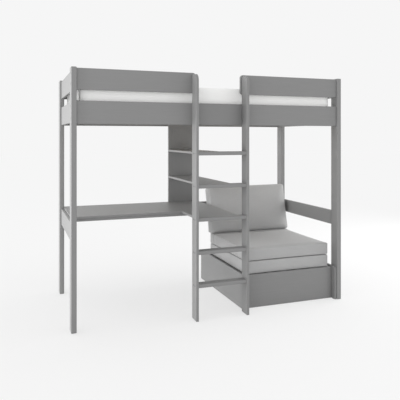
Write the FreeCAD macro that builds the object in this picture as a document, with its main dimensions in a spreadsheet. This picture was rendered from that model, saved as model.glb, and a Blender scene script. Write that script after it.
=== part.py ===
import FreeCAD, Part
import math
import os
import re

import Sketcher

# A painted timber high sleeper: four plank posts carry a slatted bed with guard rails, a ladder
# stands at the middle of the front, shelves run back from its upper treads, a desk fills the left
# half below the bed and a pull-out chair bed the right half.
# The origin is on the floor, at the middle of the whole; +X runs to the right, +Y to the back.

SIZES = {
    # whole bed
    "bed_length": 2036,
    "bed_width": 988,
    "bed_height": 1714,
    "glide_height": 3,
    "glide_diameter": 12,
    # posts and rails
    "post_width": 36,
    "post_depth": 86,
    "post_round": 5,
    "rail_thickness": 22,
    "rail_round": 4,
    "rail_corner_round": 20,
    "side_rail_height": 152,
    "rear_rail_height": 144,
    "guard_gap": 70,
    "guard_drop": 5,
    "guard_height": 141,
    "rear_guard_height": 118,
    "guard_opening": 342,
    "upper_panel_height": 137,
    "lower_panel_height": 141,
    "middle_rail_rise": 3,
    "middle_rail_height": 109,
    "desk_end_rail_height": 124,
    # slatted base and mattress
    "slat_drop": 38,
    "slat_width": 70,
    "slat_thickness": 18,
    "slat_end_gap": 3,
    "slat_round": 3,
    "slat_count": 14,
    "bearer_thickness": 30,
    "bearer_height": 35,
    "bearer_end_gap": 2,
    "mattress_end_gap": 32,
    "mattress_side_gap": 8,
    "mattress_thickness": 152,
    "mattress_crown": 7,
    "mattress_edge": 12,
    "mattress_shift": 11,
    # ladder
    "upright_thickness": 20,
    "upright_depth": 90,
    "upright_drop": 18,
    "upright_gap": 358,
    "upright_round": 3,
    "upright_top_round": 48,
    "step_headroom": 211,
    "tread_thickness": 25,
    "tread_depth": 70,
    "tread_setback": 6,
    "tread_round": 5,
    # desk and shelves
    "board_thickness": 16,
    "board_round": 2,
    "desk_depth": 600,
    "centre_board_width": 324,
    "shelf_width": 228,
    "shelf_shift": 9,
    "panel_lap": 54,
    "cleat_size": 25,
    "cleat_end_gap": 30,
    "front_batten_setback": 6,
    "front_batten_depth": 22,
    "front_batten_height": 20,
    "front_batten_lap": 60,
    # chair base
    "base_gap": 1,
    "base_side_thickness": 16,
    "base_side_height": 254,
    "base_setback": 11,
    "base_back_gap": 1,
    "base_corner_round": 30,
    "seat_slat_drop": 11,
    "seat_slat_gap": 12.5,
    "seat_slat_thickness": 18,
    "seat_slat_count": 12,
    "base_rail_thickness": 30,
    "cross_rail_height": 45,
    "base_back_rail_height": 90,
    # pull-out part
    "front_board_setback": 58,
    "front_board_thickness": 18,
    "front_board_lift": 3,
    "front_board_height": 243,
    "slide_clearance": 1.5,
    "running_gap": 2,
    "pullout_batten_thickness": 22,
    "pullout_batten_height": 40,
    "tail_gap": 105,
    "tail_bar_depth": 30,
    "tail_bar_height": 18,
    # castors
    "castor_inset": 90,
    "wheel_diameter": 48,
    "wheel_width": 18,
    "wheel_round": 4,
    "wheel_offset": 34,
    "wheel_side_gap": 1,
    "axle_diameter": 8,
    "axle_end": 2,
    "axle_fit": 0.06,
    "fork_plate_thickness": 4,
    "fork_plate_width": 44,
    "fork_plate_height": 60,
    "fork_lift": 12,
    "cheek_thickness": 3,
    "cheek_depth": 46,
    "cheek_height": 44,
    # cushions
    "soft_gap": 0.3,
    "cushion_setback": 71,
    "cushion_side_gap": 17,
    "cushion_edge": 9,
    "cushion_draw": 6,
    "lower_cushion_back_gap": 147,
    "lower_cushion_thickness": 95.4,
    "leaf_thickness": 92.5,
    "leaf_crown": 3,
    "bolster_depth": 84,
    "bolster_gap": 3,
    "back_cushion_side_gap": 6,
    "back_cushion_height": 422,
    "back_cushion_thickness": 120,
    "back_cushion_edge": 30,
    "back_cushion_front_crown": 10,
    "back_cushion_rear_crown": 36,
    "back_cushion_lean": 13.5,
    "back_cushion_foot": 122,
    "back_cushion_settle": 18,
    # bolts, nuts, screws, dowels and caps
    "bolt_diameter": 6,
    "bolt_length": 85,
    "bolt_head_diameter": 13,
    "bolt_head_height": 4,
    "bolt_counterbore": 7,
    "cap_diameter": 16,
    "cap_proud": 0.8,
    "ladder_bolt_length": 70,
    "nut_diameter": 10,
    "nut_length": 16,
    "nut_inset": 40,
    "dowel_diameter": 10,
    "dowel_length": 60,
    "shelf_dowel_diameter": 8,
    "shelf_dowel_length": 36,
    "shelf_dowel_spacing": 130,
    "shelf_dowel_bite": 10,
    "screw_diameter": 5,
    "screw_length": 50,
    "screw_head_diameter": 8,
    "screw_head_height": 3,
    "screw_counterbore": 5,
    "screw_cap_diameter": 10,
    "screw_spacing": 30,
    "bore_clearance": 0.25,
    "fit_clearance": 0.15,
    "tip_gap": 1,
    "overrun": 2,
}

# Where fasteners sit on the height of the board they hold
PAIR_SHARES = (0.25, 0.75)
LADDER_BOLT_SHARES = (0.2, 0.8)
# Treads are counted from the floor; three of them carry a board behind
TREAD_COUNT = 5
DESK_STEP = 3
LOWER_SHELF_STEP = 4
UPPER_SHELF_STEP = 5
# Along a cushion: the turns that round its ends in degrees, and places on its half length
END_TURNS = (0, 30, 60, 90)
MIDDLE_SHARES = (0.75, 0.5, 0.25, 0)
END_CROWN_SHARE = 0.15

doc = FreeCAD.newDocument("high_sleeper")
sheet = doc.addObject("Spreadsheet::Sheet", "sizes")
for row, (alias, number) in enumerate(SIZES.items(), start=1):
    sheet.set(f"A{row}", alias)
    sheet.set(f"B{row}", str(number))
    sheet.setAlias(f"B{row}", alias)
doc.recompute()

blanks = {}
bores = {}
nodes = {}


# Formulas are written in the sheet's names and bound to the document's objects

def in_sheet(formula):
    return re.sub(r"[a-z]\w*", lambda word: f"sizes.{word.group(0)}", formula)


def value(formula):
    return float(sheet.evalExpression(in_sheet(formula)))


def bind(thing, prop, formula):
    thing.setExpression(prop, in_sheet(formula))


def place(thing, at):
    for axis, formula in zip("xyz", at):
        bind(thing, f"Placement.Base.{axis}", formula)


# Timber is a rectangle padded along its grain, with its edges eased

GRAIN = {"x": ("YZ_Plane", "y", "z"), "y": ("XZ_Plane", "x", "z"), "z": ("XY_Plane", "x", "y")}


def outline_sketch(body, role):
    sketch = body.newObject("Sketcher::SketchObject", f"{body.Name}_outline")
    plane = next(item for item in body.Origin.OriginFeatures if item.Role == role)
    sketch.AttachmentSupport = [(plane, "")]
    sketch.MapMode = "FlatFace"
    return sketch


def rectangle(body, role, across, up):
    sketch = outline_sketch(body, role)
    wide, high = value(across), value(up)
    corners = [(0, 0), (wide, 0), (wide, high), (0, high)]
    for start, end in zip(corners, corners[1:] + corners[:1]):
        sketch.addGeometry(Part.LineSegment(FreeCAD.Vector(*start), FreeCAD.Vector(*end)))
    for side in range(4):
        sketch.addConstraint(Sketcher.Constraint("Coincident", side, 2, (side + 1) % 4, 1))
        sketch.addConstraint(Sketcher.Constraint("Vertical" if side % 2 else "Horizontal", side))
    sketch.addConstraint(Sketcher.Constraint("Coincident", 0, 1, -1, 1))
    for name, kind, side, formula in (
        ("across", "DistanceX", 0, across),
        ("up", "DistanceY", 1, up),
    ):
        number = sketch.addConstraint(Sketcher.Constraint(kind, side, 1, side, 2, value(formula)))
        sketch.renameConstraint(number, name)
        bind(sketch, f"Constraints.{name}", formula)
    return sketch


def timber(label, grain, size, at):
    role, across, up = GRAIN[grain]
    along = dict(zip("xyz", size))
    body = doc.addObject("PartDesign::Body", label)
    sketch = rectangle(body, role, along[across], along[up])
    pad = body.newObject("PartDesign::Pad", f"{label}_pad")
    pad.Profile = sketch
    pad.Reversed = grain == "y"
    bind(pad, "Length", along[grain])
    place(body, at)
    doc.recompute()
    blanks[label] = body
    return body


def runs(edge, axis):
    return isinstance(edge.Curve, Part.Line) and round(abs(getattr(edge.Curve.Direction, axis))) == 1


def ease(body, radius, test):
    base = body.Tip
    picked = [f"Edge{n}" for n, edge in enumerate(base.Shape.Edges, start=1) if test(edge)]
    fillet = body.newObject("PartDesign::Fillet", f"{body.Name}_ease")
    fillet.Base = (base, picked)
    bind(fillet, "Radius", radius)
    doc.recompute()


def ease_grain(body, grain, radius):
    ease(body, radius, lambda edge: runs(edge, grain))


def round_corner(body, radius, across, low, high):
    """Rounds the corners whose edges run along one axis, at the low or high end of two others."""
    box = body.Tip.Shape.BoundBox

    def at_corner(edge):
        centre = edge.CenterOfMass
        low_ok = all(getattr(centre, a) < getattr(box.Center, a) for a in low)
        high_ok = all(getattr(centre, a) > getattr(box.Center, a) for a in high)
        return runs(edge, across) and low_ok and high_ok

    ease(body, radius, at_corner)


# Rods make bolts, dowels, caps and the holes that they sit in

HEADINGS = {"+x": (1, 0, 0), "-x": (-1, 0, 0), "+y": (0, 1, 0), "-y": (0, -1, 0), "+z": (0, 0, 1)}


def rod(name, diameter, length, start, heading):
    item = doc.addObject("Part::Cylinder", name)
    bind(item, "Radius", f"({diameter}) / 2")
    bind(item, "Height", length)
    turn = FreeCAD.Rotation(FreeCAD.Vector(0, 0, 1), FreeCAD.Vector(*HEADINGS[heading]))
    item.Placement = FreeCAD.Placement(FreeCAD.Vector(), turn)
    place(item, start)
    return item


def block(name, size, at):
    item = doc.addObject("Part::Box", name)
    for prop, formula in zip(("Length", "Width", "Height"), size):
        bind(item, prop, formula)
    place(item, at)
    return item


def join(name, items):
    if len(items) == 1:
        return items[0]
    whole = doc.addObject("Part::MultiFuse", name)
    whole.Shapes = items
    return whole


def take(name, base, tool):
    cut = doc.addObject("Part::Cut", name)
    cut.Base = base
    cut.Tool = tool
    return cut


def group(label, items):
    whole = doc.addObject("Part::Compound", label)
    whole.Links = items
    nodes[label] = whole


def drill(hole, *labels):
    for label in labels:
        bores.setdefault(label, []).append(hole)


def headed(name, sizes, face, heading, along):
    """A bolt or screw sunk into a face: its solid, its cap, its hole and its counterbore."""
    thick, length, head, head_high, deep, cap = sizes
    axis = "xyz".index(heading[1])
    sign = heading[0]

    def at(depth):
        point = list(along)
        point[axis] = f"({face} {sign} ({depth}))"
        return point

    shank = rod(f"{name}_shank", thick, length, at(deep), heading)
    top = rod(f"{name}_head", head, head_high, at(f"{deep} - {head_high}"), heading)
    solid = join(name, [shank, top])
    plug = rod(f"{name}_cap", f"{cap} - 2 * fit_clearance", f"{deep} - {head_high} + cap_proud",
               at("-cap_proud"), heading)
    hole = rod(f"{name}_bore", f"{thick} + 2 * bore_clearance",
               f"overrun + {deep} + {length} + tip_gap", at("-overrun"), heading)
    sink = rod(f"{name}_sink", cap, f"overrun + {deep}", at("-overrun"), heading)
    return solid, plug, hole, sink


# Reference planes of the frame

recess = "(post_width - rail_thickness)"
reach = f"(upright_depth - {recess})"
left = "(-bed_length / 2)"
right = "(bed_length / 2)"
front = f"(({reach} - bed_width) / 2)"
rear = f"({front} + bed_width)"
bay_left = f"({left} + post_width)"
bay_right = f"({right} - post_width)"
bay_front = f"({front} + post_width)"
bay_rear = f"({rear} - post_width)"
bay_length = "(bed_length - 2 * post_width)"
bay_width = "(bed_width - 2 * post_width)"
end_front = f"({front} + post_depth)"
end_rear = f"({rear} - post_depth)"
end_span = "(bed_width - 2 * post_depth)"
ladder_front = f"({front} - {reach})"
tread_back = f"({ladder_front} + tread_setback + tread_depth)"
guard_base = "(bed_height - guard_drop - guard_height)"
side_rail_top = f"({guard_base} - guard_gap)"
side_rail_base = f"({side_rail_top} - side_rail_height)"
rear_rail_base = f"({side_rail_top} - rear_rail_height)"
slat_top = f"({side_rail_top} - slat_drop)"
tread_pitch = f"(({side_rail_base} - step_headroom) / {TREAD_COUNT})"
desk_base = f"({DESK_STEP} * {tread_pitch})"
middle_rail_top = f"({desk_base} + middle_rail_rise)"
middle_rail_base = f"({middle_rail_top} - middle_rail_height)"
desk_end_rail_base = f"({middle_rail_top} - desk_end_rail_height)"
lower_panel_base = f"({side_rail_top} - lower_panel_height)"

# Posts: planks with every edge rounded

for side, x in (("left", left), ("right", bay_right)):
    for depth, y in (("front", front), ("rear", end_rear)):
        size = ("post_width", "post_depth", "(bed_height - glide_height)")
        post = timber(f"post_{depth}_{side}", "z", size, (x, y, "glide_height"))
        ease(post, "post_round", lambda edge: True)

# Long rails: butted between the posts, flush with their inner faces


def long_rail(label, y, base, height):
    rail = timber(label, "x", (bay_length, "rail_thickness", height), (bay_left, y, base))
    ease_grain(rail, "x", "rail_round")


front_rail_y = f"({bay_front} - rail_thickness)"
long_rail("side_rail_front", front_rail_y, side_rail_base, "side_rail_height")
long_rail("side_rail_rear", bay_rear, rear_rail_base, "rear_rail_height")
long_rail("guard_rail_rear", bay_rear, guard_base, "rear_guard_height")
long_rail("back_rail_middle", bay_rear, middle_rail_base, "middle_rail_height")

# Front guard rails: two short boards with rounded free ends either side of the way in

guard_length = f"(({bay_length} - guard_opening) / 2)"
for side, x, low, high in (
    ("left", bay_left, "", "x"),
    ("right", "(guard_opening / 2)", "x", ""),
):
    guard = timber(f"guard_rail_front_{side}", "x",
                   (guard_length, "rail_thickness", "guard_height"), (x, front_rail_y, guard_base))
    round_corner(guard, "rail_corner_round", "y", low, high)
    middle = guard.Tip.Shape.BoundBox.Center.x

    def away_from_post(edge, middle=middle, free_high=bool(high)):
        box = edge.BoundBox
        reaches = box.XMax > middle if free_high else box.XMin < middle
        return reaches and not runs(edge, "y")

    ease(guard, "rail_round", away_from_post)

# End boards: dowelled between the front and rear posts

END_BOARDS = []
for side, x, rail_base, rail_height in (
    ("left", f"({bay_left} - rail_thickness)", desk_end_rail_base, "desk_end_rail_height"),
    ("right", bay_right, middle_rail_base, "middle_rail_height"),
):
    for name, base, height in (
        ("end_panel_upper", guard_base, "upper_panel_height"),
        ("end_panel_lower", lower_panel_base, "lower_panel_height"),
        ("end_rail_middle", rail_base, rail_height),
    ):
        label = f"{name}_{side}"
        end = timber(label, "y", ("rail_thickness", end_span, height), (x, end_front, base))
        ease_grain(end, "y", "rail_round")
        END_BOARDS.append((label, side, base, height))

# Bearers and slats: the slats lie loose across bearers on the side rails

bearer_base = f"({slat_top} - slat_thickness - bearer_height)"
for depth, y in (("front", bay_front), ("rear", f"({bay_rear} - bearer_thickness)")):
    size = (f"({bay_length} - 2 * bearer_end_gap)", "bearer_thickness", "bearer_height")
    bearer = timber(f"slat_bearer_{depth}", "x", size,
                    (f"({bay_left} + bearer_end_gap)", y, bearer_base))
    ease_grain(bearer, "x", "slat_round")

slats = []
for number in range(int(value("slat_count"))):
    x = f"({bay_left} + {bay_length} * {number + 0.5} / slat_count - slat_width / 2)"
    size = ("slat_width", f"({bay_width} - 2 * slat_end_gap)", "slat_thickness")
    slat = timber(f"mattress_slat_{number + 1}", "y", size,
                  (x, f"({bay_front} + slat_end_gap)", f"({slat_top} - slat_thickness)"))
    ease_grain(slat, "y", "slat_round")
    slats.append(blanks.pop(slat.Name))
group("mattress_slats", slats)

# Ladder: two plank uprights against the front rails, with the treads between them

upright_x = {"left": "(-upright_gap / 2 - upright_thickness)", "right": "(upright_gap / 2)"}
for side, x in upright_x.items():
    size = ("upright_thickness", "upright_depth", "(bed_height - upright_drop - glide_height)")
    upright = timber(f"ladder_upright_{side}", "z", size, (x, ladder_front, "glide_height"))
    round_corner(upright, "upright_top_round", "x", "y", "z")
    ease(upright, "upright_round", lambda edge: not runs(edge, "x"))

for step in range(1, TREAD_COUNT + 1):
    tread = timber(f"ladder_tread_{step}", "x", ("upright_gap", "tread_depth", "tread_thickness"),
                   ("(-upright_gap / 2)", f"({ladder_front} + tread_setback)", f"{step} * {tread_pitch}"))
    ease_grain(tread, "x", "tread_round")

# Desk and shelves: boards level with the undersides of the treads that they meet

desk_top = f"({desk_base} + board_thickness)"
desk_front = f"({bay_rear} - desk_depth)"
desk_length = f"({bay_length} / 2 - centre_board_width / 2)"
desk = timber("desk_top", "x", (desk_length, "desk_depth", "board_thickness"),
              (bay_left, desk_front, desk_base))
ease_grain(desk, "x", "board_round")

centre = timber("centre_board", "y",
                ("centre_board_width", f"({bay_rear} - {tread_back})", "board_thickness"),
                ("(-centre_board_width / 2)", tread_back, desk_base))
ease_grain(centre, "y", "board_round")

panel_front = f"({bay_rear} - board_thickness)"
panel = timber("shelf_back_panel", "z",
               ("shelf_width", "board_thickness", f"({side_rail_base} + panel_lap - {desk_top})"),
               ("(shelf_shift - shelf_width / 2)", panel_front, desk_top))
ease_grain(panel, "z", "board_round")

for name, step in (("shelf_lower", LOWER_SHELF_STEP), ("shelf_upper", UPPER_SHELF_STEP)):
    shelf = timber(name, "y", ("shelf_width", f"({panel_front} - {tread_back})", "board_thickness"),
                   ("(shelf_shift - shelf_width / 2)", tread_back, f"({step} * {tread_pitch})"))
    ease_grain(shelf, "y", "board_round")

cleat_base = f"({desk_base} - cleat_size)"
cleat = timber("desk_cleat_left", "y",
               ("cleat_size", f"({end_rear} - {desk_front} - 2 * cleat_end_gap)", "cleat_size"),
               (bay_left, f"({desk_front} + cleat_end_gap)", cleat_base))
ease_grain(cleat, "y", "board_round")
rear_cleat_x = f"({bay_left} + cleat_size + cleat_end_gap)"
cleat = timber("desk_cleat_rear", "x",
               (f"(centre_board_width / 2 - {rear_cleat_x})", "cleat_size", "cleat_size"),
               (rear_cleat_x, f"({bay_rear} - cleat_size)", cleat_base))
ease_grain(cleat, "x", "board_round")
batten = timber("desk_front_batten", "x",
                (f"({desk_length} + front_batten_lap)", "front_batten_depth", "front_batten_height"),
                (bay_left, f"({desk_front} + front_batten_setback)",
                 f"({desk_base} - front_batten_height)"))
ease_grain(batten, "x", "board_round")

# Chair base: two sides that stand on the floor, tied by a back rail and a cross rail

base_left = "(upright_gap / 2 + upright_thickness + base_gap)"
seat_left = f"({base_left} + base_side_thickness)"
seat_right = f"({bay_right} - base_side_thickness)"
seat_width = f"({seat_right} - {seat_left})"
base_front = f"({front} + base_setback)"
base_back = f"({bay_rear} - base_back_gap)"
base_depth = f"({base_back} - {base_front})"
seat_slat_top = "(glide_height + base_side_height - seat_slat_drop)"
seat_slat_base = f"({seat_slat_top} - seat_slat_thickness)"
for side, x in (("left", base_left), ("right", seat_right)):
    base = timber(f"base_side_{side}", "y", ("base_side_thickness", base_depth, "base_side_height"),
                  (x, base_front, "glide_height"))
    round_corner(base, "base_corner_round", "x", "y", "z")
    ease(base, "board_round", lambda edge: not runs(edge, "x"))

board_front = f"({front} + front_board_setback)"
board_back = f"({board_front} + front_board_thickness)"
cross_rail_front = f"({board_back} + pullout_batten_thickness + running_gap)"
for name, y, height in (
    ("base_cross_rail", cross_rail_front, "cross_rail_height"),
    ("base_back_rail", f"({base_back} - base_rail_thickness)", "base_back_rail_height"),
):
    rail = timber(name, "x", (seat_width, "base_rail_thickness", height),
                  (seat_left, y, f"({seat_slat_base} - {height})"))
    ease_grain(rail, "x", "board_round")

# Seat slats: fixed ones and pull-out ones lie side by side and pass between each other

tail_back = f"({base_back} - base_rail_thickness - tail_gap)"
seat_slats = {"fixed": [], "pullout": []}
slat_runs = {
    "fixed": (cross_rail_front, f"({base_back} - {cross_rail_front})"),
    "pullout": (board_back, f"({tail_back} - {board_back})"),
}
seat_slat_total = int(value("seat_slat_count"))


seat_pitch = f"({seat_width} / seat_slat_count)"
seat_slat_width = f"({seat_pitch} - seat_slat_gap)"


def seat_slat_x(number):
    return f"({seat_left} + {number} * {seat_pitch} + seat_slat_gap / 2)"


for number in range(seat_slat_total):
    kind = "pullout" if number % 2 else "fixed"
    y, length = slat_runs[kind]
    slat = timber(f"seat_slat_{number + 1}", "y", (seat_slat_width, length, "seat_slat_thickness"),
                  (seat_slat_x(number), y, seat_slat_base))
    ease_grain(slat, "y", "slat_round")
    seat_slats[kind].append(blanks.pop(slat.Name))
group("base_fixed_slats", seat_slats["fixed"])
group("pullout_slats", seat_slats["pullout"])

# Pull-out part: a front board that carries its slats on a batten and rolls on two castors

board_left = f"({seat_left} + slide_clearance)"
board_length = f"({seat_width} - 2 * slide_clearance)"
board = timber("pullout_front_board", "x",
               (board_length, "front_board_thickness", "front_board_height"),
               (board_left, board_front, "front_board_lift"))
ease(board, "board_round", lambda edge: True)

first_slat = seat_slat_x(1)
slat_spread = f"({seat_slat_x(seat_slat_total - 1)} + {seat_slat_width} - {first_slat})"
for name, y, depth, height in (
    ("pullout_slat_batten", board_back, "pullout_batten_thickness", "pullout_batten_height"),
    ("pullout_tail_bar", f"({tail_back} - tail_bar_depth)",
     "tail_bar_depth", "tail_bar_height"),
):
    bar = timber(name, "x", (slat_spread, depth, height),
                 (first_slat, y, f"({seat_slat_base} - {height})"))
    ease_grain(bar, "x", "board_round")

# Castors: a bent steel fork on the back of the front board, an axle and a tyred wheel

wheel_y = f"({board_back} + wheel_offset)"
wheel_z = "(wheel_diameter / 2)"
fork_inside = "(wheel_width + 2 * wheel_side_gap)"
forks = []
axles = []
castor_x = {
    "left": f"({board_left} + castor_inset)",
    "right": f"({board_left} + {board_length} - castor_inset)",
}
for side, x in castor_x.items():
    plate = block(f"fork_plate_{side}", ("fork_plate_width", "fork_plate_thickness", "fork_plate_height"),
                  (f"({x} - fork_plate_width / 2)", board_back, "fork_lift"))
    pieces = [plate]
    for cheek_x in (f"({x} - {fork_inside} / 2 - cheek_thickness)", f"({x} + {fork_inside} / 2)"):
        pieces.append(block(f"fork_cheek_{side}", ("cheek_thickness", "cheek_depth", "cheek_height"),
                            (cheek_x, f"({board_back} + fork_plate_thickness)", "fork_lift")))
    axle_length = f"({fork_inside} + 2 * cheek_thickness + 2 * axle_end)"
    axle_start = (f"({x} - {axle_length} / 2)", wheel_y, wheel_z)
    axles.append(rod(f"castor_axle_{side}", "axle_diameter", axle_length, axle_start, "+x"))
    axle_bore = rod(f"axle_bore_{side}", "axle_diameter + 2 * axle_fit", axle_length, axle_start, "+x")
    forks.append(take(f"castor_fork_{side}", join(f"fork_{side}", pieces), axle_bore))

    wheel = doc.addObject("PartDesign::Body", f"castor_wheel_{side}")
    sketch = outline_sketch(wheel, "YZ_Plane")
    sketch.addGeometry(Part.Circle(FreeCAD.Vector(), FreeCAD.Vector(0, 0, 1), value(wheel_z)))
    sketch.addConstraint(Sketcher.Constraint("Coincident", 0, 3, -1, 1))
    number = sketch.addConstraint(Sketcher.Constraint("Diameter", 0, value("wheel_diameter")))
    sketch.renameConstraint(number, "tyre")
    bind(sketch, "Constraints.tyre", "wheel_diameter")
    pad = wheel.newObject("PartDesign::Pad", f"wheel_pad_{side}")
    pad.Profile = sketch
    bind(pad, "Length", "wheel_width")
    place(wheel, (f"({x} - wheel_width / 2)", wheel_y, wheel_z))
    doc.recompute()
    ease(wheel, "wheel_round", lambda edge: isinstance(edge.Curve, Part.Circle))
    blanks[wheel.Name] = wheel
    drill(axle_bore, wheel.Name)
group("castor_forks", forks)
group("castor_axles", axles)

# Bed bolts: run through the posts into barrel nuts in the rails, under caps

BOLT = ("bolt_diameter", "bolt_length", "bolt_head_diameter", "bolt_head_height", "bolt_counterbore",
        "cap_diameter")
both = ("left", "right")
bolted_rails = (
    ("side_rail_front", "front", side_rail_base, "side_rail_height", both),
    ("side_rail_rear", "rear", rear_rail_base, "rear_rail_height", both),
    ("guard_rail_front_left", "front", guard_base, "guard_height", ("left",)),
    ("guard_rail_front_right", "front", guard_base, "guard_height", ("right",)),
    ("guard_rail_rear", "rear", guard_base, "rear_guard_height", both),
    ("back_rail_middle", "rear", middle_rail_base, "middle_rail_height", both),
)
rail_middle = {
    "front": f"({bay_front} - rail_thickness / 2)",
    "rear": f"({bay_rear} + rail_thickness / 2)",
}
bolts, caps, nuts = [], [], []
nut_reach = "(rail_thickness / 2 + nut_length / 2)"
for rail, depth, base, height, sides in bolted_rails:
    for side in sides:
        face, heading, sign = (left, "+x", "+") if side == "left" else (right, "-x", "-")
        for share in PAIR_SHARES:
            z = f"({base} + {share} * {height})"
            name = f"{rail}_{side}_bolt"
            solid, cap, hole, sink = headed(name, BOLT, face, heading, ("0", rail_middle[depth], z))
            bolts.append(solid)
            caps.append(cap)
            drill(hole, f"post_{depth}_{side}", rail)
            drill(sink, f"post_{depth}_{side}")
            nut_x = f"({face} {sign} (post_width + nut_inset))"
            nut = rod(f"{name}_nut", "nut_diameter", "nut_length",
                      (nut_x, f"({rail_middle[depth]} - nut_length / 2)", z), "+y")
            thread = rod(f"{name}_thread", "bolt_diameter + 2 * fit_clearance", "2 * nut_diameter",
                         (f"({nut_x} - nut_diameter)", rail_middle[depth], z), "+x")
            nuts.append(take(f"{name}_barrel_nut", nut, thread))
            start, way = (f"({bay_front} + overrun)", "-y") if depth == "front" else (
                f"({bay_rear} - overrun)", "+y")
            drill(rod(f"{name}_nut_bore", "nut_diameter + 2 * fit_clearance",
                      f"overrun + {nut_reach}", (nut_x, start, z), way), rail)
group("bed_bolts", bolts)
group("barrel_nuts", nuts)

# Dowels: hold the end boards in the posts, and the shelves to the treads and the back panel


def dowel(name, thick, length, start, labels):
    x, y, z = start
    drill(rod(f"{name}_bore", f"{thick} + 2 * fit_clearance", f"{length} + 2 * tip_gap",
              (x, f"({y} - tip_gap)", z), "+y"), *labels)
    return rod(name, thick, length, start, "+y")


end_x = {"left": f"({bay_left} - rail_thickness / 2)", "right": f"({bay_right} + rail_thickness / 2)"}
end_dowels = []
for label, side, base, height in END_BOARDS:
    for depth, y in (("front", end_front), ("rear", end_rear)):
        for share in PAIR_SHARES:
            start = (end_x[side], f"({y} - dowel_length / 2)", f"({base} + {share} * {height})")
            end_dowels.append(dowel(f"{label}_dowel", "dowel_diameter", "dowel_length", start,
                                    (label, f"post_{depth}_{side}")))
group("end_dowels", end_dowels)

shelf_dowels = []
for label, step in (
    ("centre_board", DESK_STEP),
    ("shelf_lower", LOWER_SHELF_STEP),
    ("shelf_upper", UPPER_SHELF_STEP),
):
    joints = [(f"({tread_back} - shelf_dowel_length / 2)", f"ladder_tread_{step}")]
    if label != "centre_board":
        joints.append((f"({panel_front} + shelf_dowel_bite - shelf_dowel_length)", "shelf_back_panel"))
    for y, other in joints:
        for x in ("(-shelf_dowel_spacing / 2)", "(shelf_dowel_spacing / 2)"):
            start = (x, y, f"({step} * {tread_pitch} + board_thickness / 2)")
            shelf_dowels.append(dowel(f"{label}_dowel", "shelf_dowel_diameter", "shelf_dowel_length",
                                      start, (label, other)))
group("shelf_dowels", shelf_dowels)

# Tread screws: run through the uprights into the ends of the treads, under small caps

SCREW = ("screw_diameter", "screw_length", "screw_head_diameter", "screw_head_height",
         "screw_counterbore", "screw_cap_diameter")
tread_middle = f"({ladder_front} + tread_setback + tread_depth / 2)"
screws, screw_caps = [], []
for side, face, heading in (
    ("left", upright_x["left"], "+x"),
    ("right", "(upright_gap / 2 + upright_thickness)", "-x"),
):
    for step in range(1, TREAD_COUNT + 1):
        z = f"({step} * {tread_pitch} + tread_thickness / 2)"
        for y in (f"({tread_middle} - screw_spacing / 2)", f"({tread_middle} + screw_spacing / 2)"):
            name = f"tread_{step}_{side}_screw"
            solid, cap, hole, sink = headed(name, SCREW, face, heading, ("0", y, z))
            screws.append(solid)
            screw_caps.append(cap)
            drill(hole, f"ladder_upright_{side}", f"ladder_tread_{step}")
            drill(sink, f"ladder_upright_{side}")
group("tread_screws", screws)
group("screw_caps", screw_caps)

# Ladder bolts: run forward through the side rail and the guard rails into the uprights

LADDER_BOLT = ("bolt_diameter", "ladder_bolt_length", "bolt_head_diameter", "bolt_head_height",
               "bolt_counterbore", "cap_diameter")
ladder_bolts = []
for side, x in upright_x.items():
    for rail, base, height in (
        ("side_rail_front", side_rail_base, "side_rail_height"),
        (f"guard_rail_front_{side}", guard_base, "guard_height"),
    ):
        for share in LADDER_BOLT_SHARES:
            along = (f"({x} + upright_thickness / 2)", "0", f"({base} + {share} * {height})")
            name = f"{rail}_{side}_ladder_bolt"
            solid, cap, hole, sink = headed(name, LADDER_BOLT, bay_front, "-y", along)
            ladder_bolts.append(solid)
            caps.append(cap)
            drill(hole, rail, f"ladder_upright_{side}")
            drill(sink, rail)
group("ladder_bolts", ladder_bolts)
group("bolt_caps", caps)

# Floor glides: small discs under the posts, the uprights and the chair base

glide_spots = []
for x in (f"({left} + post_width / 2)", f"({right} - post_width / 2)"):
    for y in (f"({front} + post_depth / 2)", f"({rear} - post_depth / 2)"):
        glide_spots.append((x, y))
for x in upright_x.values():
    glide_spots.append((f"({x} + upright_thickness / 2)", f"({ladder_front} + upright_depth / 2)"))
for x in (base_left, seat_right):
    for y in (f"({base_front} + base_corner_round)", f"({base_back} - base_corner_round)"):
        glide_spots.append((f"({x} + base_side_thickness / 2)", y))
group("floor_glides", [rod("floor_glide", "glide_diameter", "glide_height", (x, y, "0"), "+z")
                       for x, y in glide_spots])

# Cushions and mattress: crowned forms whose sides draw in between the corners


def padded_section(x, near, far, low, high, edge, low_crown, high_crown):
    middle_y = (near + far) / 2
    middle_z = (low + high) / 2

    def point(y, z):
        return FreeCAD.Vector(x, y, z)

    corners = [point(near + edge, low), point(far - edge, low),
               point(far - edge, high), point(near + edge, high)]
    bulges = [point(middle_y, low - low_crown), point(far, middle_z),
              point(middle_y, high + high_crown), point(near, middle_z)]
    edges = []
    for start, bulge, end, flat in zip(corners, bulges, corners[1:] + corners[:1],
                                       (low_crown == 0, False, high_crown == 0, False)):
        curve = Part.LineSegment(start, end) if flat else Part.Arc(start, bulge, end)
        edges.append(curve.toShape())
    return Part.Wire(edges)


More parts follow.
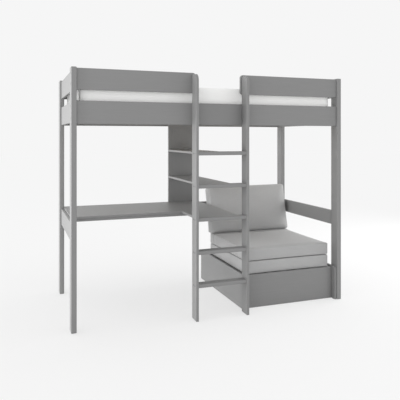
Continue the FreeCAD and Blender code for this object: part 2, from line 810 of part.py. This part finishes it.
def padded(label, length, depth, thickness, edge, low_crown, high_crown, place_at):
    """A cushion lofted along X between rounded ends, centred on X, its near lower edge at Y 0, Z 0."""
    half, deep, thick, side = value(length) / 2, value(depth), value(thickness), value(edge)
    draw, low_swell, high_swell = value("cushion_draw"), value(low_crown), value(high_crown)
    turns = [math.radians(turn) for turn in END_TURNS]
    stations = [(half - side * (1 - math.cos(turn)), side * (1 - math.sin(turn))) for turn in turns]
    stations += [(half * share, 0) for share in MIDDLE_SHARES]
    mirrored = [(-x, slim) for x, slim in stations if x > 0]
    sections = []
    for x, slim in mirrored + stations[::-1]:
        fade = 1 - (x / half) ** 2
        crown = END_CROWN_SHARE + (1 - END_CROWN_SHARE) * fade
        inset = slim + fade * draw
        high = thick - slim
        sections.append(padded_section(x, inset, deep - inset, slim, high, side * (high - slim) / thick,
                                       low_swell * crown, high_swell * crown))
    item = doc.addObject("Part::Feature", label)
    item.Shape = Part.makeLoft(sections, True, True)
    item.Placement = place_at
    nodes[label] = item
    return item


def level(x, y, z):
    return FreeCAD.Placement(FreeCAD.Vector(value(x), value(y), value(z)), FreeCAD.Rotation())


seat_middle = f"(({seat_left} + {seat_right}) / 2)"
cushion_front = f"({front} + cushion_setback)"
lower_base = f"({seat_slat_top} + soft_gap)"
leaf_base = f"({lower_base} + lower_cushion_thickness + soft_gap)"
cushion_width = f"({seat_width} - 2 * cushion_side_gap)"
cushion_rear = f"({bay_rear} - lower_cushion_back_gap)"
bolster_front = f"({cushion_rear} - bolster_depth)"
leaf_depth = f"({bolster_front} - bolster_gap - {cushion_front})"
padded("mattress", f"({bay_length} - 2 * mattress_end_gap)", f"({bay_width} - 2 * mattress_side_gap)",
       "mattress_thickness", "mattress_edge",
       "0", "mattress_crown",
       level("-mattress_shift", f"({bay_front} + mattress_side_gap)", f"({slat_top} + soft_gap)"))
padded("seat_slab", cushion_width, f"({cushion_rear} - {cushion_front})", "lower_cushion_thickness",
       "cushion_edge", "0", "0", level(seat_middle, cushion_front, lower_base))
padded("seat_cushion_leaf", cushion_width, leaf_depth, "leaf_thickness", "cushion_edge",
       "0", "leaf_crown", level(seat_middle, cushion_front, leaf_base))

# A bolster as high as the leaf is sewn on the lower cushion behind it, and the two share a node
padded("seat_bolster", cushion_width, "bolster_depth", "leaf_thickness", "cushion_edge",
       "0", "0", level(seat_middle, bolster_front, leaf_base))
group("seat_cushion_lower", [nodes.pop("seat_slab"), nodes.pop("seat_bolster")])

# The back cushion stands on the bolster, leans back towards the rail and settles flat on its foot;
# its own lower face is the rear one once it is stood up
lean = value("back_cushion_lean")
back = padded("back_cushion", f"({seat_width} - 2 * back_cushion_side_gap)",
              "back_cushion_height", "back_cushion_thickness",
              "back_cushion_edge", "back_cushion_rear_crown", "back_cushion_front_crown",
              FreeCAD.Placement(FreeCAD.Vector(value(seat_middle), value(f"({bay_rear} - back_cushion_foot)"), 0),
                                FreeCAD.Rotation(FreeCAD.Vector(1, 0, 0), 90 - lean)))
back_base = value(f"({leaf_base} + leaf_thickness + soft_gap)")
back.Placement.Base.z = back_base - value("back_cushion_settle") - back.Shape.optimalBoundingBox(False).ZMin
reach = back.Shape.BoundBox
back.Shape = back.Shape.common(Part.makeBox(reach.XLength, reach.YLength, reach.ZLength,
                                            FreeCAD.Vector(reach.XMin, reach.YMin, back_base)))

# Bored pieces: each blank less the holes drilled in it

for label, body in blanks.items():
    holes = bores.get(label)
    if holes:
        body.Label = f"{label}_blank"
        nodes[label] = take(f"{label}_bored", body, join(f"{label}_holes", holes))
    else:
        nodes[label] = body
doc.recompute()
for label, item in nodes.items():
    item.Label = label

# Checks, then one file for each node

for item in doc.Objects:
    faults = [state for state in item.State if state in ("Invalid", "Error")]
    if faults:
        raise RuntimeError(f"{item.Label}: {faults}")
for label, item in nodes.items():
    if item.Shape.isNull() or not item.Shape.isValid() or not item.Shape.Solids:
        raise RuntimeError(f"{label}: no valid solid")

os.makedirs("parts", exist_ok=True)
for label, item in nodes.items():
    item.Shape.exportStep(f"parts/{label}.step")
print(len(nodes), "nodes,", sum(len(item.Shape.Solids) for item in nodes.values()), "solids")
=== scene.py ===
import math

import bmesh
import bpy
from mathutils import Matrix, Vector


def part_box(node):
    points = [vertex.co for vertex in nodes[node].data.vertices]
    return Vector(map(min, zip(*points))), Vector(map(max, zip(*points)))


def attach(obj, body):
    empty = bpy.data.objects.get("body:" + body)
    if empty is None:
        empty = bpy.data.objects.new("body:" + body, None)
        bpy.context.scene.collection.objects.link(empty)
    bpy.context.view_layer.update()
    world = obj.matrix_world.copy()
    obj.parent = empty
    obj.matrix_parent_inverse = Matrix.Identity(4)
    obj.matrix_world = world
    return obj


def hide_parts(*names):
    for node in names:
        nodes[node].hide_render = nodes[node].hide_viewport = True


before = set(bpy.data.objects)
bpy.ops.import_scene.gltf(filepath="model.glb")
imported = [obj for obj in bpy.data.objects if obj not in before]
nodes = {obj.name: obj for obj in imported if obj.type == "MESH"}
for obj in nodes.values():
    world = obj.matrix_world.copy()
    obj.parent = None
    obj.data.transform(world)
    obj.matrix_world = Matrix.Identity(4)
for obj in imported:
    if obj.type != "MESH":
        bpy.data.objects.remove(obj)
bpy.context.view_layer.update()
scene = bpy.context.scene


# Posts: four softwood planks that stand on the floor at the corners, planed with rounded edges.
# They are primed and sprayed in a satin mid grey that lets a trace of the grain through.

PAINT_DARK = (0.200, 0.200, 0.200)
PAINT_LIGHT = (0.248, 0.248, 0.248)
PAINT_SPECULAR = 0.42
ALONG_GRAIN = 0.05
GRAIN_STRETCH = {
    "x": (ALONG_GRAIN, 1.0, 1.0),
    "y": (1.0, ALONG_GRAIN, 1.0),
    "z": (1.0, 1.0, ALONG_GRAIN),
}


class Signal:
    """A socket in a finish's node tree; arithmetic on it adds Math nodes."""

    def __init__(self, tree, socket):
        self.tree = tree
        self.socket = socket

    def node(self, kind, settings, sockets, output=0):
        made = self.tree.nodes.new(kind)
        for name, setting in settings.items():
            setattr(made, name, setting)
        for name, given in sockets.items():
            if isinstance(given, Signal):
                self.tree.links.new(given.socket, made.inputs[name])
            else:
                made.inputs[name].default_value = given
        return Signal(self.tree, made.outputs[output])

    def maths(self, operation, *terms):
        return self.node("ShaderNodeMath", {"operation": operation}, dict(enumerate(terms)))

    def __add__(self, other):
        return self.maths("ADD", self, other)

    __radd__ = __add__

    def __sub__(self, other):
        return self.maths("SUBTRACT", self, other)

    def __rsub__(self, other):
        return self.maths("SUBTRACT", other, self)

    def __mul__(self, other):
        return self.maths("MULTIPLY", self, other)

    __rmul__ = __mul__

    def sine(self):
        return self.maths("SINE", self)

    def stretched(self, factors):
        return self.node("ShaderNodeVectorMath", {"operation": "MULTIPLY"}, {0: self, 1: factors})

    def noise(self, scale, detail, rough=0.5):
        return self.node("ShaderNodeTexNoise", {},
                         {"Vector": self, "Scale": scale, "Detail": detail, "Roughness": rough})

    def parts(self):
        made = self.node("ShaderNodeSeparateXYZ", {}, {"Vector": self})
        return [Signal(self.tree, out) for out in made.socket.node.outputs]

    def between(self, low, high):
        return self.node("ShaderNodeMapRange", {"clamp": True}, {"Value": self, 1: low, 2: high})

    def tint(self, dark, light):
        return self.node("ShaderNodeMix", {"data_type": "RGBA"},
                         {0: self, 6: (*dark, 1.0), 7: (*light, 1.0)}, output=2)


def new_finish(name):
    """A material with its shader, and the place on the piece that its pattern is drawn by."""
    made = bpy.data.materials.new(name)
    made.use_nodes = True
    tree = made.node_tree
    shader = tree.nodes["Principled BSDF"]
    place = tree.nodes.new("ShaderNodeTexCoord")
    return made, shader, Signal(tree, place.outputs["Object"])


def feed(shader, colour, rough, height, deep, strength):
    """Links a finish's colour, roughness and relief to its shader; deep is in metres."""
    links = shader.id_data.links
    links.new(colour.socket, shader.inputs["Base Color"])
    links.new(rough.socket, shader.inputs["Roughness"])
    bump = colour.node("ShaderNodeBump", {},
                       {"Strength": strength, "Distance": deep, "Height": height})
    links.new(bump.socket, shader.inputs["Normal"])


def dress(finish, *names):
    for name in names:
        mesh = nodes[name].data
        mesh.materials.clear()
        mesh.materials.append(finish)


def painted_timber(grain):
    finish, shader, at = new_finish(f"painted_timber_{grain}")
    fibre = at.stretched(GRAIN_STRETCH[grain]).noise(scale=95.0, detail=4.0, rough=0.62)
    cloud = at.noise(scale=1.7, detail=3.0)
    stipple = at.noise(scale=620.0, detail=1.0)
    feed(shader,
         colour=(0.55 * fibre + 0.45 * cloud).tint(PAINT_DARK, PAINT_LIGHT),
         rough=0.40 + 0.10 * fibre + 0.06 * stipple,
         height=0.7 * fibre + 0.3 * stipple, deep=0.0006, strength=0.35)
    shader.inputs["Specular IOR Level"].default_value = PAINT_SPECULAR
    return finish


paint = {grain: painted_timber(grain) for grain in "xyz"}
dress(paint["z"], "post_front_left", "post_front_right", "post_rear_left", "post_rear_right")


# Rails and end boards: planks butted between the posts, with rounded edges and rounded free ends.
# They share the posts' grey paint, and their grain runs along each board.

dress(paint["x"], "side_rail_front", "side_rail_rear", "guard_rail_front_left",
      "guard_rail_front_right", "guard_rail_rear", "back_rail_middle")
dress(paint["y"], "end_panel_upper_left", "end_panel_upper_right", "end_panel_lower_left",
      "end_panel_lower_right", "end_rail_middle_left", "end_rail_middle_right")


# Bearers and slats: planed softwood left bare, the slats laid across bearers on the side rails.
# Screws hold the bearers, and the slats lie loose under the mattress.

WOOD_DARK = (0.52, 0.44, 0.34)
WOOD_LIGHT = (0.71, 0.63, 0.51)
RING_TURNS = 38.0


def bare_softwood(grain):
    finish, shader, at = new_finish(f"bare_softwood_{grain}")
    stretched = at.stretched(GRAIN_STRETCH[grain])
    bands = stretched.noise(scale=22.0, detail=3.0, rough=0.55)
    fibre = stretched.noise(scale=240.0, detail=3.0, rough=0.6)
    rings = (bands * RING_TURNS).sine() * 0.5 + 0.5
    tone = 0.45 * rings + 0.25 * fibre + 0.30 * at.noise(scale=1.1, detail=2.0)
    feed(shader,
         colour=tone.tint(WOOD_DARK, WOOD_LIGHT),
         rough=0.55 + 0.15 * fibre,
         height=0.6 * fibre + 0.4 * rings, deep=0.0005, strength=0.3)
    return finish


softwood = {grain: bare_softwood(grain) for grain in "xy"}
dress(softwood["x"], "slat_bearer_front", "slat_bearer_rear")
dress(softwood["y"], "mattress_slats")


# Mattress: a foam core in a pale woven cover, with a quilted top and a border between two seams.
# It lies loose on the slats, a little to the left of the middle.

TICKING_DARK = (0.89, 0.89, 0.88)
TICKING_LIGHT = (0.95, 0.95, 0.94)
CLOTH_SPECULAR = 0.2
SHEEN_ROUGH = 0.5
EDGE_ROWS = (0.2, 0.55)
MATTRESS_CELL = 0.02
MATTRESS_EDGE = 0.013
MATTRESS_CLEAR = Vector((0.002, 0.002, 0.0))
CORNER_LENGTH = 0.065
CORNER_DEPTH = 0.014
TAPE_DEPTH = 0.003
QUILT = 0.12
QUILT_ROOM = Vector((0.0, 0.0, 0.007))
QUILT_BAND = 0.02
QUILT_START = 0.03
QUILT_BLEND = 0.06
PUFF_RISE = 0.006
STITCH_SINK = 0.001


def soft_box(name, low, high, edge, cell):
    """A closed box on an even grid, its edges rounded by finer rows; also gives its edge points."""
    low, high = Vector(low), Vector(high)
    shape = bmesh.new()
    bmesh.ops.create_cube(shape, size=1.0)
    for point in shape.verts:
        point.co = [a + (b - a) * (c + 0.5) for a, b, c in zip(low, high, point.co)]
    for axis in range(3):
        flat = high[axis] - low[axis] - 2 * edge
        count = max(1, round(flat / cell))
        cuts = [low[axis] + edge + flat * step / count for step in range(count + 1)]
        for share in EDGE_ROWS:
            cuts += [low[axis] + share * edge, high[axis] - share * edge]
        normal = Vector([float(axis == number) for number in range(3)])
        for place in cuts:
            bmesh.ops.bisect_plane(shape, geom=shape.verts[:] + shape.edges[:] + shape.faces[:],
                                   plane_co=normal * place, plane_no=normal)
    shape.verts.index_update()
    rim = []
    for point in shape.verts:
        core = Vector([min(max(c, a + edge), b - edge) for a, b, c in zip(low, high, point.co)])
        away = point.co - core
        if sum(abs(abs(part) - edge) < 1e-6 for part in away) > 1:
            rim.append(point.index)
        point.co = core + away.normalized() * edge
    mesh = bpy.data.meshes.new(name)
    shape.to_mesh(mesh)
    shape.free()
    piece = bpy.data.objects.new(name, mesh)
    scene.collection.objects.link(piece)
    return piece, rim


def smooth_skin(piece):
    """Subdivides the piece once and keeps the result as its mesh."""
    skin = piece.modifiers.new("skin", "SUBSURF")
    skin.levels = skin.render_levels = 1
    bpy.context.view_layer.update()
    evaluated = piece.evaluated_get(bpy.context.evaluated_depsgraph_get())
    made = bpy.data.meshes.new_from_object(evaluated)
    piece.modifiers.clear()
    piece.data = made
    for face in made.polygons:
        face.use_smooth = True


def woven(name, dark, light, thread, slub, sheen):
    """Plain weave cloth: crossing threads, slubs along them, and a soft sheen."""
    finish, shader, at = new_finish(name)
    waves = [(axis * (2 * math.pi / thread)).sine() for axis in at.parts()]
    weave = waves[0] * waves[1] + waves[1] * waves[2] + waves[2] * waves[0]
    slubs = (at.stretched((1.0, 0.12, 1.0)).noise(scale=260.0, detail=2.0)
             + at.stretched((0.12, 1.0, 0.3)).noise(scale=260.0, detail=2.0))
    cloud = at.noise(scale=5.0, detail=3.0)
    tone = 0.5 + 0.10 * weave + slub * (slubs - 1.0) + 0.35 * (cloud - 0.5)
    feed(shader,
         colour=tone.between(0.0, 1.0).tint(dark, light),
         rough=0.82 + 0.10 * cloud,
         height=0.6 * weave + 0.8 * slubs, deep=0.0004, strength=0.30)
    shader.inputs["Sheen Weight"].default_value = sheen
    shader.inputs["Sheen Roughness"].default_value = SHEEN_ROUGH
    shader.inputs["Specular IOR Level"].default_value = CLOTH_SPECULAR
    return finish


ticking = woven("mattress_ticking", TICKING_DARK, TICKING_LIGHT, thread=0.0018, slub=0.3, sheen=0.2)
low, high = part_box("mattress")
low, high = low + MATTRESS_CLEAR, high - MATTRESS_CLEAR - QUILT_ROOM
mattress, rim = soft_box("mattress_cover", low, high, MATTRESS_EDGE, MATTRESS_CELL)
middle = (low + high) / 2
half = (high - low) / 2
for number in rim:
    point = mattress.data.vertices[number]
    if min(point.co.z - low.z, high.z - point.co.z) < MATTRESS_EDGE:
        point.co += (middle - point.co).normalized() * TAPE_DEPTH
for point in mattress.data.vertices:
    x, y, z = point.co
    if z > high.z - QUILT_BAND:
        inside = min(x - low.x, high.x - x, y - low.y, high.y - y)
        puff = min(1.0, max(0.0, (inside - QUILT_START) / QUILT_BLEND))
        stitch = (abs(math.sin(math.pi * (x + y) / QUILT))
                  * abs(math.sin(math.pi * (x - y) / QUILT)))
        point.co.z += puff * (PUFF_RISE * math.sqrt(stitch) - STITCH_SINK)
    # In plan, the long sides draw in towards each corner along a quarter of an ellipse
    across, along = x - middle.x, y - middle.y
    a = max(0.0, abs(across) - half.x + CORNER_LENGTH) / CORNER_LENGTH
    b = max(0.0, abs(along) - half.y + CORNER_DEPTH) / CORNER_DEPTH
    point.co.x -= math.copysign(CORNER_LENGTH * a * (1 - math.sqrt(1 - b * b / 2)), across)
    point.co.y -= math.copysign(CORNER_DEPTH * b * (1 - math.sqrt(1 - a * a / 2)), along)
smooth_skin(mattress)
mattress.data.materials.append(ticking)
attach(mattress, "mattress")
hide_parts("mattress")


# Ladder: two plank uprights fixed to the front rails, and treads with rounded edges between them.
# The screws through the uprights are hidden by small caps that show as dots.

dress(paint["z"], "ladder_upright_left", "ladder_upright_right")
dress(paint["x"], "ladder_tread_1", "ladder_tread_2", "ladder_tread_3", "ladder_tread_4",
      "ladder_tread_5")


# Desk and shelves: lacquered boards with eased edges, in the same grey as the frame.
# They meet the back of the ladder's treads, and cleats and a batten carry the desk.

dress(paint["x"], "desk_top", "desk_cleat_rear", "desk_front_batten")
dress(paint["y"], "centre_board", "shelf_lower", "shelf_upper", "desk_cleat_left")
dress(paint["z"], "shelf_back_panel")


# Chair base: two sides that stand on the floor, tied by rails that carry slats, all painted.
# The front board pulls out, with its own slats running between the fixed ones.

dress(paint["y"], "base_side_left", "base_side_right")
dress(paint["x"], "pullout_front_board", "base_back_rail", "base_cross_rail",
      "pullout_slat_batten", "pullout_tail_bar")
dress(paint["y"], "base_fixed_slats", "pullout_slats")


# Castors: bent steel forks with plain pins, and dark tyred wheels that carry the front board.
# The steel is zinc plated and a little streaky, and the tyres are dull and dusty.

STEEL_DARK = (0.50, 0.50, 0.51)
STEEL_LIGHT = (0.70, 0.70, 0.71)
TYRE_DARK = (0.020, 0.020, 0.021)
TYRE_DUSTY = (0.060, 0.060, 0.060)


def plated_steel():
    finish, shader, at = new_finish("plated_steel")
    streak = at.stretched((1.0, 1.0, 0.1)).noise(scale=900.0, detail=2.0)
    cloud = at.noise(scale=40.0, detail=3.0)
    feed(shader,
         colour=(0.5 * streak + 0.5 * cloud).tint(STEEL_DARK, STEEL_LIGHT),
         rough=0.28 + 0.16 * cloud + 0.08 * streak,
         height=streak, deep=0.0001, strength=0.2)
    shader.inputs["Metallic"].default_value = 1.0
    return finish


def dark_tyre():
    finish, shader, at = new_finish("dark_tyre")
    grain = at.noise(scale=1400.0, detail=2.0)
    dust = at.noise(scale=60.0, detail=4.0)
    feed(shader,
         colour=dust.tint(TYRE_DARK, TYRE_DUSTY),
         rough=0.62 + 0.2 * dust,
         height=grain, deep=0.0002, strength=0.3)
    return finish


steel = plated_steel()
dress(steel, "castor_forks", "castor_axles")
dress(dark_tyre(), "castor_wheel_left", "castor_wheel_right")


# Seat and back cushions: foam in light grey woven cotton covers, boxed with plain seams.
# The folding leaf lies on the lower cushion, joined at the front, with a bolster sewn on behind it;
# the back cushion stands loose on the bolster.

COTTON_DARK = (0.355, 0.355, 0.355)
COTTON_LIGHT = (0.458, 0.458, 0.458)
COVER_PRESSURE = 4.0
COVER_STIFFNESS = 12.0
COVER_BENDING = 0.6
FILL_STEPS = 20
CELL = 0.018
PAD_EDGE = 0.009
SEAM_DEPTH = 0.0006
REST_GAP = 0.0002
SLACK = 0.005
EDGE_LIFT = 0.002
LIFT_WIDTH = 0.05
LIFT_REACH = 0.03
LEAF_GAP = 0.0003
LEAF_DROP = 0.006
BOLSTER_GAP = 0.003

cotton = woven("cushion_cotton", COTTON_DARK, COTTON_LIGHT, thread=0.0016, slub=0.35, sheen=0.25)


def swell(piece, seam, cap):
    """Fills the cover with air for a moment: panels crown, and the seams hold their line."""
    rest = [point.co.copy() for point in piece.data.vertices]
    held = piece.vertex_groups.new(name="seam")
    held.add(seam, 1.0, "REPLACE")
    cloth = piece.modifiers.new("fill", "CLOTH")
    cloth.settings.use_pressure = True
    cloth.settings.uniform_pressure_force = COVER_PRESSURE
    cloth.settings.effector_weights.gravity = 0.0
    cloth.settings.vertex_group_mass = "seam"
    cloth.settings.pin_stiffness = 1.0
    cloth.settings.tension_stiffness = COVER_STIFFNESS
    cloth.settings.compression_stiffness = COVER_STIFFNESS
    cloth.settings.bending_stiffness = COVER_BENDING
    cloth.settings.quality = 4
    cloth.collision_settings.use_collision = False
    cloth.collision_settings.use_self_collision = False
    cloth.point_cache.frame_start = 1
    cloth.point_cache.frame_end = FILL_STEPS
    for step in range(1, FILL_STEPS + 1):
        scene.frame_set(step)
    full = piece.evaluated_get(bpy.context.evaluated_depsgraph_get()).data
    moved = [point.co.copy() for point in full.vertices]
    piece.modifiers.clear()
    piece.vertex_groups.clear()
    scene.frame_set(1)
    for point, start, end in zip(piece.data.vertices, rest, moved):
        shift = end - start
        if shift.length > cap:
            shift *= cap / shift.length
        point.co = start + shift


def pinch_seams(points, rim, middle):
    for number in rim:
        points[number].co += (middle - points[number].co).normalized() * SEAM_DEPTH


def draw_in(points, middle, half, draw):
    """Pulls the sides in between the corners, as a filled cover does."""
    for point in points:
        along_x = (point.co.x - middle.x) / half.x
        along_y = (point.co.y - middle.y) / half.y
        point.co.y -= draw * (1 - along_x ** 2) * along_y ** 3
        point.co.x -= draw * (1 - along_y ** 2) * along_x ** 3


def cover(piece, node, body):
    smooth_skin(piece)
    piece.data.materials.append(cotton)
    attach(piece, body)
    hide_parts(node)


def boxed_cushion(name, node, body, low, high, draw, cap, meets):
    """A pad whose panels crown and whose sides pull in between the corners.

    Its foot lies flat, and its front stays behind the plane of the fold. Around its top or foot,
    whichever meets the next pad, the edge lifts off a little.
    """
    low, high = Vector(low), Vector(high)
    joint, lift = (high.z, -EDGE_LIFT) if meets == "top" else (low.z, EDGE_LIFT)
    piece, rim = soft_box(name, low, high, PAD_EDGE, CELL)
    middle = (low + high) / 2
    points = piece.data.vertices
    pinch_seams(points, rim, middle)
    draw_in(points, middle, (high - low) / 2, draw)
    swell(piece, rim, cap)
    for point in points:
        x, y, z = point.co
        y = max(y, low.y + REST_GAP)
        z = max(z, low.z + REST_GAP)
        if meets == "top":
            z = min(z, high.z - REST_GAP)
        inside = min(x - low.x, high.x - x, y - low.y, high.y - y)
        near_rim = max(0.0, 1 - inside / LIFT_WIDTH) ** 2
        near_joint = max(0.0, 1 - abs(z - joint) / LIFT_REACH)
        point.co = (x, y, z + lift * near_rim * near_joint)
    cover(piece, node, body)


low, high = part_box("seat_cushion_lower")
leaf_low, leaf_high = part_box("seat_cushion_leaf")
boxed_cushion("seat_pad_lower", "seat_cushion_lower", "frame",
              low, (high.x - SLACK, high.y, leaf_low.z - LEAF_GAP),
              draw=0.005, cap=0.004, meets="top")
boxed_cushion("seat_bolster", "seat_cushion_lower", "frame",
              (low.x, leaf_high.y + BOLSTER_GAP, leaf_low.z), high,
              draw=0.0, cap=0.002, meets="top")
boxed_cushion("seat_pad_leaf", "seat_cushion_leaf", "seat_leaf",
              leaf_low, leaf_high - Vector((SLACK, 0.0, LEAF_DROP)),
              draw=0.005, cap=0.0056, meets="foot")

# The back cushion is filled flat on the bench, then leaned back in its place, where its foot
# flattens and rounds under at the front
LEAN = math.radians(13.5)
BACK_HEIGHT = 0.422
BACK_THICK = 0.120
BACK_EDGE = 0.026
BACK_DRAW = 0.003
BACK_SWELL = 0.010
FRONT_CROWN = 0.004
REAR_CROWN = -0.022
FOOT_ROUND = 0.030
FOOT_REACH = 0.120
low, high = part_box("back_cushion")
back, rim = soft_box("back_pad", (low.x, 0.0, 0.0), (high.x, BACK_HEIGHT, BACK_THICK),
                     BACK_EDGE, CELL)
middle = Vector(((low.x + high.x) / 2, BACK_HEIGHT / 2, BACK_THICK / 2))
half = Vector(((high.x - low.x) / 2, BACK_HEIGHT / 2, BACK_THICK / 2))
points = back.data.vertices
pinch_seams(points, rim, middle)
for point in points:
    along_x = (point.co.x - middle.x) / half.x
    along_y = (point.co.y - middle.y) / half.y
    through = (point.co.z - middle.z) / half.z
    crown = (1 - along_x ** 2) * (1 - along_y ** 2)
    point.co.z += crown * (FRONT_CROWN if through > 0 else REAR_CROWN) * abs(through)
draw_in(points, middle, half, BACK_DRAW)
swell(back, rim, BACK_SWELL)
for point in points:
    x, y, z = point.co
    point.co = (x, y * math.sin(LEAN) - z * math.cos(LEAN), y * math.cos(LEAN) + z * math.sin(LEAN))
front = min(point.co.y for point in points)
top = max(point.co.z for point in points)
for point in points:
    point.co += Vector((0.0, low.y - front, high.z - top))
    point.co.z = max(point.co.z, low.z + REST_GAP)
    under = max(0.0, FOOT_ROUND - (point.co.z - low.z))
    forward = max(0.0, 1 - (point.co.y - low.y) / FOOT_REACH)
    point.co.y += forward * (FOOT_ROUND - math.sqrt(FOOT_ROUND ** 2 - under ** 2))
cover(back, "back_cushion", "back_cushion")


# Fixings: bolts, nuts and screws of plated steel, beech dowels, and moulded caps and glides.
# The caps close the bolt and screw heads; the glides keep the timber off the floor.

def moulded(name, dark, light):
    """Plastic in an even grey, with the fine grain of its mould."""
    finish, shader, at = new_finish(name)
    grain = at.noise(scale=2200.0, detail=2.0)
    cloud = at.noise(scale=30.0, detail=2.0)
    feed(shader,
         colour=cloud.tint((dark, dark, dark), (light, light, light)),
         rough=0.45 + 0.15 * grain,
         height=grain, deep=0.0001, strength=0.3)
    return finish


dress(steel, "bed_bolts", "barrel_nuts", "tread_screws", "ladder_bolts")
dress(softwood["y"], "end_dowels", "shelf_dowels")
dress(moulded("bolt_cap_grey", dark=0.19, light=0.23), "bolt_caps")
# The screw caps are made much darker than the bolt caps, so that each shows as a dark dot on the
# uprights
dress(moulded("screw_cap_darker", dark=0.09, light=0.12), "screw_caps")
dress(moulded("glide_black", dark=0.015, light=0.035), "floor_glides")


# Stage: a plain pale floor and backdrop, a soft light all round, and a broad lamp at each side.
# The floor shows partly by its own glow, which keeps it even, and partly by the light on it.

WHITE = (1.0, 1.0, 1.0, 1.0)
PALE = 0.922
AMBIENT = 1.05
FLOOR_REACH = 30.0
FLOOR_MATT = (0.90, 0.90, 0.90, 1.0)
FLOOR_GLOW = 0.912
GLOW_SHARE = 0.72


def shown(tree):
    """One where a ray comes from the camera, a reflection or a clear material."""
    path = tree.nodes.new("ShaderNodeLightPath")
    camera, glossy, clear = [Signal(tree, path.outputs[f"Is {kind} Ray"])
                             for kind in ("Camera", "Glossy", "Transmission")]
    return camera.maths("MAXIMUM", camera, glossy.maths("MAXIMUM", glossy, clear))


floor_mesh = bpy.data.meshes.new("floor")
floor_mesh.from_pydata([(-FLOOR_REACH, -FLOOR_REACH, 0.0), (FLOOR_REACH, -FLOOR_REACH, 0.0),
                        (FLOOR_REACH, FLOOR_REACH, 0.0), (-FLOOR_REACH, FLOOR_REACH, 0.0)],
                       [], [(0, 1, 2, 3)])
floor = bpy.data.objects.new("floor", floor_mesh)
scene.collection.objects.link(floor)
floor_finish = bpy.data.materials.new("pale_floor")
floor_finish.use_nodes = True
tree = floor_finish.node_tree
tree.nodes.clear()
seen = shown(tree)
matt = seen.node("ShaderNodeBsdfDiffuse", {}, {"Color": FLOOR_MATT})
glow = seen.node("ShaderNodeEmission", {}, {"Color": WHITE, "Strength": FLOOR_GLOW})
both = seen.node("ShaderNodeMixShader", {}, {0: seen * GLOW_SHARE, 1: matt, 2: glow})
surface = tree.nodes.new("ShaderNodeOutputMaterial")
tree.links.new(both.socket, surface.inputs["Surface"])
floor_mesh.materials.append(floor_finish)

world = bpy.data.worlds.new("studio")
scene.world = world
world.use_nodes = True
tree = world.node_tree
tree.nodes.clear()
seen = shown(tree)
sky = seen.node("ShaderNodeBackground", {},
                {"Color": WHITE, "Strength": AMBIENT + (PALE - AMBIENT) * seen})
surface = tree.nodes.new("ShaderNodeOutputWorld")
tree.links.new(sky.socket, surface.inputs["Surface"])

# The left lamp spares the pale mattress and the floor, which would clip to white beside it
LAMP_SIZE = 2.5
shaded = bpy.data.collections.new("shaded_from_left")
for number, pale in enumerate((mattress, floor)):
    shaded.objects.link(pale)
    shaded.collection_objects[number].light_linking.link_state = "EXCLUDE"
for name, watts, place, turn, spared in (
    ("left_lamp", 200.0, (-4.5, -0.2, 1.3), -math.pi / 2, shaded),
    ("right_lamp", 100.0, (4.5, 0.0, 1.5), math.radians(82), None),
):
    panel = bpy.data.lights.new(name, "AREA")
    panel.shape = "RECTANGLE"
    panel.size = LAMP_SIZE
    panel.size_y = LAMP_SIZE
    panel.energy = watts
    lamp = bpy.data.objects.new(name, panel)
    lamp.location = place
    lamp.rotation_euler = (0.0, turn, 0.0)
    lamp.light_linking.receiver_collection = spared
    scene.collection.objects.link(lamp)

eye = bpy.data.cameras.new("eye")
eye.sensor_width = 36.0
eye.lens = 46.825
eye.shift_x = -0.0293
eye.shift_y = -0.158
camera = bpy.data.objects.new("eye", eye)
camera.location = (-1.354, -3.880, 1.263)
camera.rotation_euler = (math.pi / 2, 0.0, -math.radians(20.738))
scene.collection.objects.link(camera)
scene.camera = camera
scene.view_settings.view_transform = "Standard"
